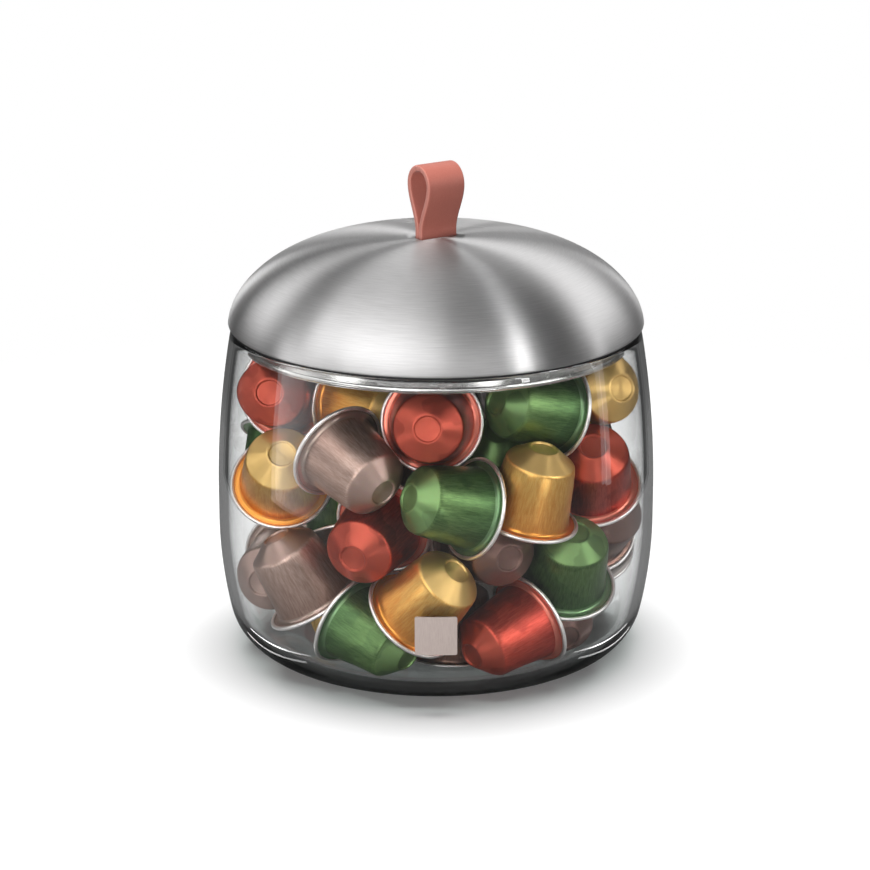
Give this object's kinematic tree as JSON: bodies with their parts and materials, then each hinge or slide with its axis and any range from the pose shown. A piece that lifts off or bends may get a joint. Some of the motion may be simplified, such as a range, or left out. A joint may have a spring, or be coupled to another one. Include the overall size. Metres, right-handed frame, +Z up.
{
  "type": "coffee capsule dispenser jar",
  "caption": "Barrel shaped glass jar full of coffee capsules, under a domed steel lid with a leather loop.",
  "frame": {"origin": "centre of the jar's foot, on the plane it stands on", "axes": "+Z up along the jar's axis, -Y towards the front with the badge"},
  "size_m": [0.162, 0.1625, 0.183],
  "materials": {
    "jar_glass": "clear",
    "badge_metal": "brushed",
    "badge_pad": "matte",
    "lid_steel": "circular brushed",
    "ring_steel": "satin",
    "gasket_rubber": "matte",
    "strap_leather": "matte",
    "rivet_metal": "polished",
    "capsule_red": "satin anodised",
    "capsule_gold": "satin anodised",
    "capsule_green": "satin anodised",
    "capsule_taupe": "satin anodised",
    "capsule_brown": "satin anodised"
  },
  "bodies": {
    "jar": {"badge_pad": "badge_pad", "badge_plate": "badge_metal", "capsule_brown_01": "capsule_brown", "capsule_brown_02": "capsule_brown", "capsule_brown_03": "capsule_brown", "capsule_brown_04": "capsule_brown", "capsule_brown_05": "capsule_brown", "capsule_brown_06": "capsule_brown", "capsule_brown_07": "capsule_brown", "capsule_brown_08": "capsule_brown", "capsule_brown_09": "capsule_brown", "capsule_brown_10": "capsule_brown", "capsule_brown_11": "capsule_brown", "capsule_gold_01": "capsule_gold", "capsule_gold_02": "capsule_gold", "capsule_gold_03": "capsule_gold", "capsule_gold_04": "capsule_gold", "capsule_gold_05": "capsule_gold", "capsule_gold_06": "capsule_gold", "capsule_gold_07": "capsule_gold", "capsule_gold_08": "capsule_gold", "capsule_green_01": "capsule_green", "capsule_green_02": "capsule_green", "capsule_green_03": "capsule_green", "capsule_green_04": "capsule_green", "capsule_green_05": "capsule_green", "capsule_green_06": "capsule_green", "capsule_green_07": "capsule_green", "capsule_green_08": "capsule_green", "capsule_green_09": "capsule_green", "capsule_green_10": "capsule_green", "capsule_green_11": "capsule_green", "capsule_green_12": "capsule_green", "capsule_red_01": "capsule_red", "capsule_red_02": "capsule_red", "capsule_red_03": "capsule_red", "capsule_red_04": "capsule_red", "capsule_red_05": "capsule_red", "capsule_red_06": "capsule_red", "capsule_red_07": "capsule_red", "capsule_red_08": "capsule_red", "capsule_taupe_01": "capsule_taupe", "capsule_taupe_02": "capsule_taupe", "capsule_taupe_03": "capsule_taupe", "capsule_taupe_04": "capsule_taupe", "capsule_taupe_05": "capsule_taupe", "capsule_taupe_06": "capsule_taupe", "capsule_taupe_07": "capsule_taupe", "capsule_taupe_08": "capsule_taupe", "capsule_taupe_09": "capsule_taupe", "capsules_core": "capsule_brown", "glass_jar": "jar_glass"},
    "lid": {"gasket": "gasket_rubber", "lid_dome": "lid_steel", "plug_ring": "ring_steel", "rivet": "rivet_metal", "rivet_cap": "rivet_metal", "slot_plate": "ring_steel", "strap_tails": "strap_leather"},
    "loop": {"strap_loop": "strap_leather"}
  },
  "joints": [
    {"name": "lid_lift", "type": "slide", "parent": "jar", "child": "lid", "axis": [0, 0, 1], "range_m": [0, 0.08]},
    {"name": "loop_flex", "type": "hinge", "parent": "lid", "child": "loop", "pos_m": [0, 0, 0.1582], "axis": [0.8387, 0.5446, 0], "range_deg": [-40, 40], "stiffness_Nm_per_rad": 0.02}
  ]
}
